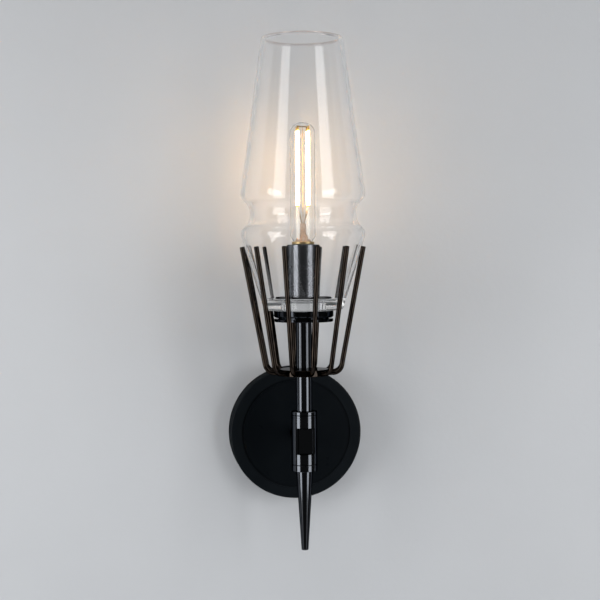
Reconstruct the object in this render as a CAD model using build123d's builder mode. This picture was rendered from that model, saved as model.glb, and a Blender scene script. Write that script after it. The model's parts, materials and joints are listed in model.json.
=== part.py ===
from build123d import *
import math
import os

# Wall sconce: a round wall plate, a short arm, an upright stem with a finial, a cage of bent
# rods, and a clear glass shade round one lamp. Sizes are in millimetres. The origin is the
# centre of the plate on the wall, +Z is up, and the lamp stands out from the wall along -Y.

# Fits and edges
thread_fit = 0.05
slip_fit = 0.3
seat_gap = 0.1
seam_chamfer = 0.4

# Wall plate
plate_diameter = 120.0
plate_depth = 22.0
plate_wall = 2.0
plate_edge_radius = 1.5
face_groove_diameter = 98.0
face_groove_width = 1.8
face_groove_depth = 0.8

# Wall bracket
bracket_thickness = 2.0
bracket_width = 22.0
bracket_disc_diameter = 46.0
bracket_hole_diameter = 24.0
slot_spacing = 70.0
slot_length = 14.0
slot_width = 5.0
ear_depth = 15.0

# Grub screws through the plate's side into the bracket's ears
grub_diameter = 4.0
grub_length = 12.0
grub_sink = 0.5
grub_offset = 8.5
grub_boss_diameter = 10.0
grub_boss_length = 6.0
grub_key_size = 2.0
grub_key_depth = 2.5

# Connector block inside the plate
block_width = 30.0
block_height = 16.0
block_depth = 10.0
block_corner_radius = 1.5
block_drop = 32.0
pole_pitch = 10.0
pole_tube_diameter = 5.0
pole_tube_bore = 3.0
pole_screw_diameter = 2.6
pole_screw_head = 4.0
pole_screw_head_height = 1.0
pole_screw_offset = 4.5
post_diameter = 5.0
post_shortfall = 1.5
post_screw_diameter = 2.5
post_screw_length = 6.0
post_screw_head = 7.0
post_screw_head_height = 1.6

# Earth point inside the plate
earth_x = 24.0
earth_drop = 10.0
earth_boss_diameter = 9.0
earth_boss_height = 4.0
earth_screw_diameter = 4.0
earth_screw_length = 4.5
earth_screw_head = 7.0
earth_screw_head_height = 2.2
lug_diameter = 8.5
lug_thickness = 0.8
lug_barrel_length = 4.0
lug_barrel_size = 2.6

# Insulated wires
lead_diameter = 2.0
lead_spacing = 2.6
lead_bend_radius = 6.0
lead_grip = 5.0
lead_loop_depth = 5.0
lead_straight_share = 0.25
lead_bend_share = 0.45

# Threaded tubes and nuts
thread_diameter = 10.0
thread_bore = 7.6
hexagon_sides = 6
nut_across_flats = 14.0
nut_height = 4.0
washer_diameter = 18.0
washer_thickness = 1.0
nipple_stand = 2.0

# Arm and coupler
lamp_reach = 75.0
arm_diameter = 12.0
coupler_diameter = 22.5
coupler_height = 52.3
coupler_top_ring_height = 3.2
coupler_bottom_ring_height = 5.8
coupler_line_drop = 5.4
coupler_line_width = 0.5
coupler_line_depth = 0.4
coupler_back_flat = 9.0
coupler_cavity = 5.5
window_width = 16.2
window_height = 23.0
window_floor = 7.2
window_lift = 0.5
window_access_diameter = 8.0
cover_width = 12.4
cover_height = 21.6
cover_thickness = 2.3
cover_plug_depth = 1.2

# Finial
finial_length = 69.5
finial_top_diameter = 14.6
finial_tip_diameter = 6.0
finial_tip_radius = 0.6
finial_bore_depth = 22.0
stud_diameter = 8.0
stud_grip = 18.0

# Stem and cage
stem_diameter = 14.1
lower_stem_length = 31.2
upper_stem_length = 41.3
hub_diameter = 43.4
hub_thickness = 5.6
hub_edge_radius = 0.5
rod_count = 12
rod_diameter = 4.2
rod_insertion = 9.0
rod_bend_radius = 8.5
rod_elbow_radius = 33.0
rod_tip_radius = 54.0
rod_rise = 109.2
rod_first_angle = 5.0
rod_tip_chamfer = 0.4

# Shade seat
seat_plate_diameter = 51.4
seat_plate_thickness = 2.6
seat_neck_diameter = 44.0
seat_neck_height = 1.0
seat_ring_diameter = 52.0
seat_ring_height = 5.9
seat_ring_edge_radius = 2.0
gasket_diameter = 50.0
gasket_thickness = 0.5

# Glass shade: outer corners as radius, and height above the shade's own base
glass_wall = 3.2
glass_base = 8.8
glass_bottom_radius = 34.4
glass_belly_radius = 54.7
glass_belly_height = 67.6
glass_neck_radius = 44.4
glass_neck_height = 83.0
glass_shoulder_radius = 55.3
glass_shoulder_height = 98.5
glass_rim_radius = 35.4
glass_height = 235.7
glass_foot_round = 3.0
glass_belly_round = 6.0
glass_neck_round = 8.6
glass_shoulder_round = 6.5
glass_floor_round = 11.0
glass_rim_round = 1.2

# Retaining ring inside the shade
ring_diameter = 48.6
ring_thickness = 1.8
ring_gasket_thickness = 0.6
ring_edge_chamfer = 0.3

# Socket cup and lampholder
cup_diameter = 28.4
cup_wall = 1.3
cup_floor = 2.5
cup_height = 57.6
cup_rim_chamfer = 0.3
holder_setback = 2.9
holder_thread_depth = 4.0
chamber_diameter = 18.0
partition_thickness = 4.0
shell_diameter = 15.8
shell_wall = 0.5
shell_setback = 1.0
shell_flange_bore = 9.6
contact_rise = 5.0
contact_width = 4.0
contact_leaf = 0.5
contact_length = 5.0
contact_tongue = 1.25
rivet_diameter = 3.0
terminal_depth = 5.0
terminal_height = 6.0
live_terminal_width = 9.0
neutral_terminal_width = 5.0
terminal_gap = 1.5
terminal_screw_diameter = 2.5
terminal_screw_head = 4.0
terminal_screw_head_height = 1.2
terminal_screw_length = 2.5

# Lamp
cap_stand = 1.6
cap_length = 20.0
cap_rim_diameter = 19.7
cap_rim_height = 0.9
cap_flare_height = 2.6
cap_thread_diameter = 13.9
cap_thread_depth = 0.6
cap_thread_pitch = 2.82
cap_wall = 0.5
insulator_height = 3.5
insulator_diameter = 6.4
tip_diameter = 4.8
tip_height = 1.6
tip_round = 0.8
envelope_diameter = 22.0
envelope_wall = 0.8
envelope_neck_diameter = 17.6
envelope_neck_sink = 0.7
envelope_flare_height = 5.0
envelope_height = 103.8
envelope_top_round = 7.5
lamp_stem_height = 17.0
lamp_stem_diameter = 5.0
lamp_stem_round = 0.8
filament_count = 4
filament_diameter = 2.4
filament_length = 69.3
filament_ring_radius = 6.5
filament_lift = 30.6
wire_diameter = 0.6
wire_ring_radius = 1.3

# Places worked out from the sizes
plate_radius = plate_diameter / 2
plate_inner_radius = plate_radius - plate_wall
plate_inner_depth = plate_depth - plate_wall
boss_inner_x = plate_inner_radius - grub_boss_length
ear_outer_x = boss_inner_x - slip_fit
thread_hole = thread_diameter + 2 * thread_fit
stud_hole = stud_diameter + 2 * thread_fit

coupler_top = coupler_height / 2
coupler_bottom = -coupler_height / 2
coupler_body_top = coupler_top - coupler_top_ring_height
coupler_body_bottom = coupler_bottom + coupler_bottom_ring_height

hub_bottom = coupler_top + lower_stem_length
hub_top = hub_bottom + hub_thickness
hub_middle = hub_bottom + hub_thickness / 2
seat_plate_bottom = hub_top + upper_stem_length
seat_bottom = seat_plate_bottom + seat_plate_thickness
seat_ring_bottom = seat_bottom + seat_neck_height
seat_top = seat_ring_bottom + seat_ring_height
glass_bottom = seat_top + gasket_thickness + seat_gap
glass_floor = glass_bottom + glass_base
ring_bottom = glass_floor + ring_gasket_thickness + seat_gap
cup_top = seat_top + cup_height
cup_inner_diameter = cup_diameter - 2 * cup_wall
cup_hole = cup_diameter + 2 * slip_fit

cup_washer_bottom = seat_top + cup_floor
cup_nut_bottom = cup_washer_bottom + washer_thickness
holder_bottom = cup_nut_bottom + nut_height
holder_top = cup_top - holder_setback
holder_diameter = cup_inner_diameter - 2 * slip_fit
rod_top = holder_bottom + holder_thread_depth
cap_top = cup_top + cap_stand
cap_bottom = cap_top - cap_length
lamp_tip = cap_bottom - insulator_height - tip_height
partition_top = lamp_tip - contact_rise
partition_bottom = partition_top - partition_thickness
terminal_bottom = partition_bottom - terminal_height
live_terminal_x = live_terminal_width / 2 - rivet_diameter / 2
neutral_terminal_x = -rivet_diameter / 2 - terminal_gap - neutral_terminal_width / 2

# Planes: the lamp's axis seen from above, and its upright section with X outwards
lamp_floor = Plane(origin=(0, -lamp_reach, 0))
lamp_section = Plane.XZ.offset(lamp_reach)
lamp_axis = Axis((0, -lamp_reach, 0), (0, 0, 1))

os.makedirs("parts", exist_ok=True)


def save(piece, name):
    piece.part.label = name
    export_step(piece.part, f"parts/{name}.step")


def upright_ring(name, outer_diameter, bore_diameter, bottom, height, edge=0.0):
    """A ring or tube on the lamp's axis, with both outer edges broken where edge is given."""
    with BuildPart() as ring:
        with BuildSketch(lamp_floor.offset(bottom)):
            Circle(outer_diameter / 2)
            Circle(bore_diameter / 2, mode=Mode.SUBTRACT)
        extrude(amount=height)
        if edge > 0:
            outer = ring.faces().filter_by(GeomType.CYLINDER).sort_by(SortBy.RADIUS)[-1]
            chamfer(outer.edges().filter_by(GeomType.CIRCLE), edge)
    save(ring, name)


def level_ring(name, outer_diameter, bore_diameter, depth, length):
    """A ring or tube on the arm's axis, from a depth off the wall outwards."""
    with BuildPart() as ring:
        with BuildSketch(Plane.XZ.offset(depth)):
            Circle(outer_diameter / 2)
            Circle(bore_diameter / 2, mode=Mode.SUBTRACT)
        extrude(amount=length)
    save(ring, name)


def hex_nut(name, plane):
    """A hexagon nut for the threaded tubes, standing on a plane."""
    with BuildPart() as nut:
        with BuildSketch(plane):
            RegularPolygon(nut_across_flats / 2, hexagon_sides, major_radius=False)
            Circle(thread_hole / 2, mode=Mode.SUBTRACT)
        extrude(amount=nut_height)
    save(nut, name)


def headed_screws(name, plane, places, shank_diameter, shank_length, head_diameter, head_height):
    """Pan-head screws whose heads stand on a plane and whose shanks go down into it."""
    with BuildPart() as screws:
        with BuildSketch(plane):
            with Locations(*places):
                Circle(head_diameter / 2)
        extrude(amount=head_height)
        with BuildSketch(plane):
            with Locations(*places):
                Circle(shank_diameter / 2)
        extrude(amount=-shank_length)
    save(screws, name)


def bend_radii(points):
    """The radius at each corner of a wire's route, as large as its two runs leave room for."""
    radii = []
    for before, corner, after in zip(points, points[1:], points[2:]):
        run_in = Vector(*corner) - Vector(*before)
        run_out = Vector(*after) - Vector(*corner)
        half_turn = math.radians(run_in.get_angle(run_out)) / 2
        room = lead_bend_share * min(run_in.length, run_out.length) / math.tan(half_turn)
        radii.append(min(room, lead_bend_radius))
    return radii


def wire_lead(name, points):
    """An insulated wire along straight runs joined by tangent arcs."""
    with BuildPart() as lead:
        with BuildLine() as route:
            FilletPolyline(*points, radius=bend_radii(points))
        start = route.wires()[0]
        with BuildSketch(Plane(origin=start @ 0, z_dir=start % 0)):
            Circle(lead_diameter / 2)
        sweep(path=start)
    save(lead, name)


# Wall bracket: a bar with a round middle, slots for the wall screws and an ear at each end
with BuildPart() as wall_bracket:
    with BuildSketch(Plane.XZ):
        Rectangle(2 * ear_outer_x, bracket_width)
        Circle(bracket_disc_diameter / 2)
        Circle(bracket_hole_diameter / 2, mode=Mode.SUBTRACT)
        with GridLocations(slot_spacing, 0, 2, 1):
            SlotOverall(slot_length, slot_width, mode=Mode.SUBTRACT)
    extrude(amount=bracket_thickness)
    with BuildSketch(Plane.XZ):
        with GridLocations(2 * ear_outer_x - bracket_thickness, 0, 2, 1):
            Rectangle(bracket_thickness, bracket_width)
    extrude(amount=ear_depth)
    with BuildSketch(Plane.YZ):
        with Locations((-grub_offset, 0)):
            Circle(grub_diameter / 2 + thread_fit)
    extrude(amount=plate_radius, both=True, mode=Mode.SUBTRACT)
save(wall_bracket, "wall_bracket")

# Wall plate: a hollow round cover with a fine groove in its face
block_places = [(-pole_pitch / 2, -block_drop), (pole_pitch / 2, -block_drop)]
post_length = block_depth - post_shortfall
with BuildPart() as wall_plate:
    with BuildSketch(Plane.XY):
        with BuildLine():
            Polyline(
                (0, -plate_depth),
                (plate_radius, -plate_depth),
                (plate_radius, 0),
                (plate_inner_radius, 0),
                (plate_inner_radius, -plate_inner_depth),
                (0, -plate_inner_depth),
                close=True,
            )
        make_face()
    revolve(axis=Axis.Y)
    front_edges = wall_plate.edges().filter_by(GeomType.CIRCLE).group_by(Axis.Y)[0]
    fillet(front_edges.sort_by(SortBy.RADIUS)[-1], plate_edge_radius)
    with BuildSketch(Plane.XZ.offset(plate_depth)):
        Circle((face_groove_diameter + face_groove_width) / 2)
        Circle((face_groove_diameter - face_groove_width) / 2, mode=Mode.SUBTRACT)
    extrude(amount=-face_groove_depth, mode=Mode.SUBTRACT)
    # Bosses that carry the grub screws
    for side in (-1, 1):
        with BuildSketch(Plane.YZ.offset(side * boss_inner_x)):
            with Locations((-grub_offset, 0)):
                Circle(grub_boss_diameter / 2)
        extrude(amount=side * (grub_boss_length + plate_wall / 2))
    with BuildSketch(Plane.YZ):
        with Locations((-grub_offset, 0)):
            Circle(grub_diameter / 2 + thread_fit)
    extrude(amount=plate_diameter, both=True, mode=Mode.SUBTRACT)
    # Posts for the connector block and the earth boss, with their screw holes
    with BuildSketch(Plane.XZ.offset(plate_inner_depth)):
        with Locations(*block_places):
            Circle(post_diameter / 2)
    extrude(amount=-post_length)
    with BuildSketch(Plane.XZ.offset(plate_inner_depth)):
        with Locations((earth_x, -earth_drop)):
            Circle(earth_boss_diameter / 2)
    extrude(amount=-earth_boss_height)
    with BuildSketch(Plane.XZ.offset(plate_inner_depth - post_length)):
        with Locations(*block_places):
            Circle(post_screw_diameter / 2 + thread_fit)
    extrude(amount=post_screw_length - post_shortfall, mode=Mode.SUBTRACT)
    with BuildSketch(Plane.XZ.offset(plate_inner_depth - earth_boss_height)):
        with Locations((earth_x, -earth_drop)):
            Circle(earth_screw_diameter / 2 + thread_fit)
    extrude(amount=earth_screw_length - lug_thickness, mode=Mode.SUBTRACT)
    # Hole for the arm's nipple
    with BuildSketch(Plane.XZ):
        Circle(thread_hole / 2)
    extrude(amount=plate_depth, mode=Mode.SUBTRACT)
save(wall_plate, "wall_plate")

# Grub screws with a hexagon key socket
with BuildPart() as plate_grub_screws:
    for side in (-1, 1):
        outer_end = Plane.YZ.offset(side * (plate_radius - grub_sink))
        with BuildSketch(outer_end):
            with Locations((-grub_offset, 0)):
                Circle(grub_diameter / 2)
        extrude(amount=-side * grub_length)
        with BuildSketch(outer_end):
            with Locations((-grub_offset, 0)):
                RegularPolygon(grub_key_size / 2, hexagon_sides, major_radius=False)
        extrude(amount=-side * grub_key_depth, mode=Mode.SUBTRACT)
save(plate_grub_screws, "plate_grub_screws")

# Connector block: three poles across, standing on the plate's inside between its two posts
block_face_depth = plate_inner_depth - block_depth
block_top = -block_drop + block_height / 2
pole_depth = plate_inner_depth - earth_boss_height - lug_barrel_size / 2
pole_centres = (-pole_pitch, 0, pole_pitch)
pole_axis_places = [(x, -pole_depth) for x in pole_centres]
pole_screw_places = [
    (x, -block_drop + side * pole_screw_offset) for x in pole_centres for side in (-1, 1)
]
pole_screw_length = pole_depth - block_face_depth - pole_tube_diameter / 2
with BuildPart() as terminal_block:
    with BuildSketch(Plane.XZ.offset(plate_inner_depth)):
        with Locations((0, -block_drop)):
            RectangleRounded(block_width, block_height, block_corner_radius)
        with Locations(*block_places):
            Circle(post_diameter / 2 + thread_fit, mode=Mode.SUBTRACT)
    extrude(amount=-block_depth)
    with BuildSketch(Plane.XY.offset(block_top)):
        with Locations(*pole_axis_places):
            Circle(pole_tube_diameter / 2 + thread_fit)
    extrude(amount=-block_height, mode=Mode.SUBTRACT)
    with BuildSketch(Plane.XZ.offset(block_face_depth)):
        with Locations(*pole_screw_places):
            Circle(pole_screw_diameter / 2 + thread_fit)
    extrude(amount=pole_screw_length, mode=Mode.SUBTRACT)
save(terminal_block, "terminal_block")

# Brass tubes of the three poles
with BuildPart() as block_terminals:
    with BuildSketch(Plane.XY.offset(block_top)):
        with Locations(*pole_axis_places):
            Circle(pole_tube_diameter / 2)
            Circle(pole_tube_bore / 2, mode=Mode.SUBTRACT)
    extrude(amount=-block_height)
save(block_terminals, "block_terminals")

# Screws of the connector block: the clamps on its poles and the two that fix it on the posts.
# Their plane faces the wall, and its Y points down.
block_back = -Plane.XZ.offset(block_face_depth)
headed_screws(
    "block_pole_screws", block_back, [(x, -z) for x, z in pole_screw_places],
    pole_screw_diameter, pole_screw_length, pole_screw_head, pole_screw_head_height,
)
headed_screws(
    "block_fixing_screws", block_back, [(x, -z) for x, z in block_places],
    post_screw_diameter, post_screw_length, post_screw_head, post_screw_head_height,
)

# Earth lug and its screw on the plate's boss
lug_depth = plate_inner_depth - earth_boss_height
lug_barrel_x = earth_x - lug_diameter / 2 - lug_barrel_length / 2
with BuildPart() as earth_lug:
    with BuildSketch(Plane.XZ.offset(lug_depth)):
        with Locations((earth_x, -earth_drop)):
            Circle(lug_diameter / 2)
        with Locations((earth_x - lug_diameter / 2, -earth_drop)):
            Rectangle(lug_diameter / 2, lug_barrel_size)
        with Locations((earth_x, -earth_drop)):
            Circle(earth_screw_diameter / 2 + thread_fit, mode=Mode.SUBTRACT)
    extrude(amount=-lug_thickness)
    with BuildSketch(Plane.XZ.offset(lug_depth)):
        with Locations((lug_barrel_x, -earth_drop)):
            Rectangle(lug_barrel_length, lug_barrel_size)
    extrude(amount=-lug_barrel_size)
save(earth_lug, "earth_lug")
headed_screws(
    "earth_screw", -Plane.XZ.offset(lug_depth - lug_thickness), [(earth_x, earth_drop)],
    earth_screw_diameter, earth_screw_length, earth_screw_head, earth_screw_head_height,
)

# Arm: the visible tube, and the hollow nipple that ties the plate to the coupler
arm_washer_depth = plate_inner_depth - washer_thickness
arm_nut_depth = arm_washer_depth - nut_height
nipple_depth = arm_nut_depth - nipple_stand
arm_end_depth = lamp_reach - coupler_back_flat
nipple_end_depth = lamp_reach - coupler_cavity
level_ring("arm_tube", arm_diameter, thread_hole, plate_depth, arm_end_depth - plate_depth)
level_ring("arm_nipple", thread_diameter, thread_bore, nipple_depth, nipple_end_depth - nipple_depth)
level_ring("arm_washer", washer_diameter, thread_hole, arm_washer_depth, washer_thickness)
hex_nut("arm_nut", Plane.XZ.offset(arm_nut_depth))

# Coupler body: bored through for the stem, the stud and the arm, with a turned line near its top
# and a milled window in front
with BuildPart() as coupler_body:
    with BuildSketch(lamp_floor.offset(coupler_body_bottom)):
        Circle(coupler_diameter / 2)
    extrude(amount=coupler_body_top - coupler_body_bottom)
    chamfer(coupler_body.edges().filter_by(GeomType.CIRCLE), seam_chamfer)
    with BuildSketch(lamp_floor.offset(coupler_top - coupler_line_drop)):
        Circle(coupler_diameter / 2)
        Circle(coupler_diameter / 2 - coupler_line_depth, mode=Mode.SUBTRACT)
    extrude(amount=coupler_line_width, mode=Mode.SUBTRACT)
    with BuildSketch(Plane.XZ.offset(arm_end_depth)):
        Circle(arm_diameter / 2 + slip_fit)
    extrude(amount=-coupler_diameter, mode=Mode.SUBTRACT)
    with BuildSketch(Plane.XZ.offset(arm_end_depth)):
        Circle(thread_hole / 2)
    extrude(amount=coupler_back_flat, mode=Mode.SUBTRACT)
    with BuildSketch(lamp_floor.offset(-coupler_cavity)):
        Circle(thread_hole / 2)
    extrude(amount=coupler_body_top + coupler_cavity, mode=Mode.SUBTRACT)
    with BuildSketch(lamp_floor):
        Circle(stud_hole / 2)
    extrude(amount=coupler_body_bottom, mode=Mode.SUBTRACT)
    with BuildSketch(lamp_section.offset(window_floor)):
        with Locations((0, window_lift)):
            Rectangle(window_width, window_height)
    extrude(amount=coupler_diameter, mode=Mode.SUBTRACT)
    with BuildSketch(lamp_section.offset(window_floor)):
        Circle(window_access_diameter / 2)
    extrude(amount=-window_floor, mode=Mode.SUBTRACT)
save(coupler_body, "coupler_body")

# Cover in the coupler's window, with a plug that fills the wiring hole behind it
with BuildPart() as coupler_cover:
    with BuildSketch(lamp_section.offset(window_floor)):
        with Locations((0, window_lift)):
            Rectangle(cover_width, cover_height)
    extrude(amount=cover_thickness)
    chamfer(coupler_cover.faces().sort_by(Axis.Y)[0].edges(), seam_chamfer / 2)
    with BuildSketch(lamp_section.offset(window_floor)):
        Circle(window_access_diameter / 2 - thread_fit)
    extrude(amount=-cover_plug_depth)
save(coupler_cover, "coupler_cover")

upright_ring(
    "coupler_top_ring", coupler_diameter, thread_hole,
    coupler_body_top, coupler_top_ring_height, seam_chamfer,
)
upright_ring(
    "coupler_bottom_ring", coupler_diameter, stud_hole,
    coupler_bottom, coupler_bottom_ring_height, seam_chamfer,
)

# Finial and the stud that it screws on to
with BuildPart() as finial_stud:
    with BuildSketch(lamp_floor.offset(coupler_bottom - stud_grip)):
        Circle(stud_diameter / 2)
    extrude(amount=stud_grip - coupler_bottom - coupler_cavity)
save(finial_stud, "finial_stud")

finial_top = coupler_bottom - seat_gap
finial_tip = finial_top - finial_length
with BuildPart() as finial:
    with BuildSketch(lamp_section):
        with BuildLine():
            Polyline(
                (0, finial_top),
                (finial_top_diameter / 2, finial_top),
                (finial_tip_diameter / 2, finial_tip),
                (0, finial_tip),
                close=True,
            )
        make_face()
    revolve(axis=lamp_axis)
    fillet(finial.edges().group_by(Axis.Z)[0], finial_tip_radius)
    with BuildSketch(lamp_floor.offset(finial_top)):
        Circle(stud_hole / 2)
    extrude(amount=-finial_bore_depth, mode=Mode.SUBTRACT)
save(finial, "finial")

# Stem: a hollow threaded rod inside two polished tubes, with the cage's hub between them
upright_ring("stem_rod", thread_diameter, thread_bore, coupler_cavity, rod_top - coupler_cavity)
upright_ring("lower_stem", stem_diameter, thread_hole, coupler_top, lower_stem_length)
upright_ring("upper_stem", stem_diameter, thread_hole, hub_top, upper_stem_length)

# Cage: each rod leaves the hub level, turns up at its elbow and leans out to its tip
rod_angles = [rod_first_angle + 360 / rod_count * index for index in range(rod_count)]


def rod_plane(angle):
    """The upright plane of one rod, with X outwards from the hub and Y up."""
    turn = math.radians(angle)
    return Plane(
        origin=(0, -lamp_reach, hub_middle),
        x_dir=(math.cos(turn), math.sin(turn), 0),
        z_dir=(math.sin(turn), -math.cos(turn), 0),
    )


with BuildPart() as cage_hub:
    with BuildSketch(lamp_floor.offset(hub_bottom)):
        Circle(hub_diameter / 2)
        Circle(thread_hole / 2, mode=Mode.SUBTRACT)
    extrude(amount=hub_thickness)
    hub_side = cage_hub.faces().filter_by(GeomType.CYLINDER).sort_by(SortBy.RADIUS)[-1]
    fillet(hub_side.edges().filter_by(GeomType.CIRCLE), hub_edge_radius)
    for angle in rod_angles:
        upright = rod_plane(angle)
        with BuildSketch(Plane(upright.origin, z_dir=upright.x_dir).offset(hub_diameter / 2)):
            Circle(rod_diameter / 2 + thread_fit)
        extrude(amount=-rod_insertion, mode=Mode.SUBTRACT)
save(cage_hub, "cage_hub")

for number, angle in enumerate(rod_angles, start=1):
    with BuildPart() as cage_rod:
        with BuildLine(rod_plane(angle)) as rod_path:
            FilletPolyline(
                (hub_diameter / 2 - rod_insertion, 0),
                (rod_elbow_radius, 0),
                (rod_tip_radius, rod_rise),
                radius=rod_bend_radius,
            )
        rod_line = rod_path.wires()[0]
        with BuildSketch(Plane(origin=rod_line @ 0, z_dir=rod_line % 0)):
            Circle(rod_diameter / 2)
        sweep(path=rod_line)
        chamfer(cage_rod.faces().sort_by(Axis.Z)[-1].edges(), rod_tip_chamfer)
    save(cage_rod, f"cage_rod_{number:02d}")

# Shade seat: a thin plate under a ring, with a groove between them, and a soft gasket on top
upright_ring(
    "seat_plate", seat_plate_diameter, thread_hole,
    seat_plate_bottom, seat_plate_thickness, seam_chamfer,
)

with BuildPart() as shade_seat:
    with BuildSketch(lamp_floor.offset(seat_bottom)):
        Circle(seat_neck_diameter / 2)
    extrude(amount=seat_neck_height)
    with BuildSketch(lamp_floor.offset(seat_ring_bottom)):
        Circle(seat_ring_diameter / 2)
    extrude(amount=seat_ring_height)
    ring_side = shade_seat.faces().filter_by(GeomType.CYLINDER).sort_by(SortBy.RADIUS)[-1]
    ring_edges = ring_side.edges().filter_by(GeomType.CIRCLE).sort_by(Axis.Z)
    fillet(ring_edges[0], seat_ring_edge_radius)
    ring_edges = shade_seat.edges().filter_by(GeomType.CIRCLE).group_by(Axis.Z)[-1]
    chamfer(ring_edges, seam_chamfer)
    with BuildSketch(lamp_floor.offset(seat_bottom)):
        Circle(thread_hole / 2)
    extrude(amount=seat_top - seat_bottom, mode=Mode.SUBTRACT)
save(shade_seat, "shade_seat")

upright_ring("lower_gasket", gasket_diameter, cup_hole, seat_top, gasket_thickness)

# Glass shade: thick base with a hole for the socket cup, flared belly, neck and tapered chimney
belly_slope = (glass_belly_radius - glass_bottom_radius) / glass_belly_height
floor_radius = glass_bottom_radius + belly_slope * glass_base - glass_wall
with BuildPart() as glass_shade:
    with BuildSketch(lamp_section):
        with BuildLine():
            outside = FilletPolyline(
                (0, glass_bottom),
                (glass_bottom_radius, glass_bottom),
                (glass_belly_radius, glass_bottom + glass_belly_height),
                (glass_neck_radius, glass_bottom + glass_neck_height),
                (glass_shoulder_radius, glass_bottom + glass_shoulder_height),
                (glass_rim_radius, glass_bottom + glass_height),
                radius=[glass_foot_round, glass_belly_round, glass_neck_round, glass_shoulder_round],
            )
            Polyline(outside @ 1, (0, glass_bottom + glass_height), outside @ 0)
        make_face()
    revolve(axis=lamp_axis)
    with BuildSketch(lamp_section):
        with BuildLine():
            inside = FilletPolyline(
                (0, glass_floor),
                (floor_radius, glass_floor),
                (glass_belly_radius - glass_wall, glass_bottom + glass_belly_height),
                (glass_neck_radius - glass_wall, glass_bottom + glass_neck_height),
                (glass_shoulder_radius - glass_wall, glass_bottom + glass_shoulder_height),
                (glass_rim_radius - glass_wall, glass_bottom + glass_height),
                radius=[glass_floor_round, glass_belly_round, glass_neck_round, glass_shoulder_round],
            )
            Polyline(inside @ 1, (0, glass_bottom + glass_height), inside @ 0)
        make_face()
    revolve(axis=lamp_axis, mode=Mode.SUBTRACT)
    fillet(glass_shade.edges().group_by(Axis.Z)[-1], glass_rim_round)
    with BuildSketch(lamp_floor.offset(glass_bottom)):
        Circle(cup_hole / 2)
    extrude(amount=glass_base, mode=Mode.SUBTRACT)
save(glass_shade, "glass_shade")

# Retaining ring and its gasket on the shade's inner floor
upright_ring("upper_gasket", ring_diameter, cup_hole, glass_floor, ring_gasket_thickness)
upright_ring("shade_ring", ring_diameter, cup_hole, ring_bottom, ring_thickness, ring_edge_chamfer)

# Socket cup, held on the seat by a washer and nut on the stem rod
with BuildPart() as socket_cup:
    with BuildSketch(lamp_floor.offset(seat_top)):
        Circle(cup_diameter / 2)
        Circle(thread_hole / 2, mode=Mode.SUBTRACT)
    extrude(amount=cup_height)
    with BuildSketch(lamp_floor.offset(seat_top + cup_floor)):
        Circle(cup_inner_diameter / 2)
    extrude(amount=cup_height - cup_floor, mode=Mode.SUBTRACT)
    chamfer(socket_cup.edges().group_by(Axis.Z)[-1], cup_rim_chamfer)
save(socket_cup, "socket_cup")
upright_ring("cup_washer", washer_diameter, thread_hole, cup_washer_bottom, washer_thickness)
hex_nut("cup_nut", lamp_floor.offset(cup_nut_bottom))

# Lampholder body: thread at its base, wiring chamber, partition and the well for the shell
neutral_post_x = -(shell_flange_bore / 2 + shell_diameter / 2) / 2
with BuildPart() as lampholder_body:
    with BuildSketch(lamp_floor.offset(holder_bottom)):
        Circle(holder_diameter / 2)
        Circle(thread_hole / 2, mode=Mode.SUBTRACT)
    extrude(amount=holder_top - holder_bottom)
    with BuildSketch(lamp_floor.offset(rod_top)):
        Circle(chamber_diameter / 2)
    extrude(amount=partition_bottom - rod_top, mode=Mode.SUBTRACT)
    with BuildSketch(lamp_floor.offset(partition_bottom)):
        Circle(thread_hole / 2)
    extrude(amount=partition_thickness)
    with BuildSketch(lamp_floor.offset(partition_top)):
        Circle(shell_diameter / 2 + thread_fit)
    extrude(amount=holder_top - partition_top, mode=Mode.SUBTRACT)
    with BuildSketch(lamp_floor.offset(partition_bottom)):
        with Locations((0, 0), (neutral_post_x, 0)):
            Circle(rivet_diameter / 2 + thread_fit)
    extrude(amount=partition_thickness, mode=Mode.SUBTRACT)
save(lampholder_body, "lampholder_body")

# Screw shell of the lampholder, open below for the centre contact
with BuildPart() as holder_shell:
    with BuildSketch(lamp_floor.offset(partition_top)):
        Circle(shell_diameter / 2)
        Circle(shell_flange_bore / 2, mode=Mode.SUBTRACT)
    extrude(amount=holder_top - shell_setback - partition_top)
    with BuildSketch(lamp_floor.offset(partition_top + shell_wall)):
        Circle(shell_diameter / 2 - shell_wall)
    extrude(amount=holder_top - shell_setback - partition_top - shell_wall, mode=Mode.SUBTRACT)
save(holder_shell, "holder_shell")

# Centre contact: a rivet through the partition and a bent leaf under the lamp's tip
leaf_bottom = partition_top + contact_leaf / 2
leaf_top = lamp_tip - seat_gap - contact_leaf / 2
with BuildPart() as centre_contact:
    with BuildSketch(lamp_section):
        with BuildLine():
            Polyline(
                (-contact_length / 2, leaf_bottom),
                (contact_length / 2, leaf_bottom),
                (-contact_length / 2, leaf_top),
                (contact_tongue, leaf_top),
            )
        trace(line_width=contact_leaf)
    extrude(amount=contact_width / 2, both=True)
    with BuildSketch(lamp_floor.offset(partition_bottom)):
        Circle(rivet_diameter / 2)
    extrude(amount=partition_thickness)
save(centre_contact, "centre_contact")

# Terminals under the partition, the neutral one with a post up to the shell's flange
with BuildPart() as live_terminal:
    with BuildSketch(lamp_floor.offset(terminal_bottom)):
        with Locations((live_terminal_x, 0)):
            Rectangle(live_terminal_width, terminal_depth)
    extrude(amount=terminal_height)
    with BuildSketch(lamp_section.offset(terminal_depth / 2)):
        with Locations((live_terminal_x, partition_bottom - terminal_height / 2)):
            Circle(terminal_screw_diameter / 2 + thread_fit)
    extrude(amount=-terminal_screw_length, mode=Mode.SUBTRACT)
save(live_terminal, "live_terminal")

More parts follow.
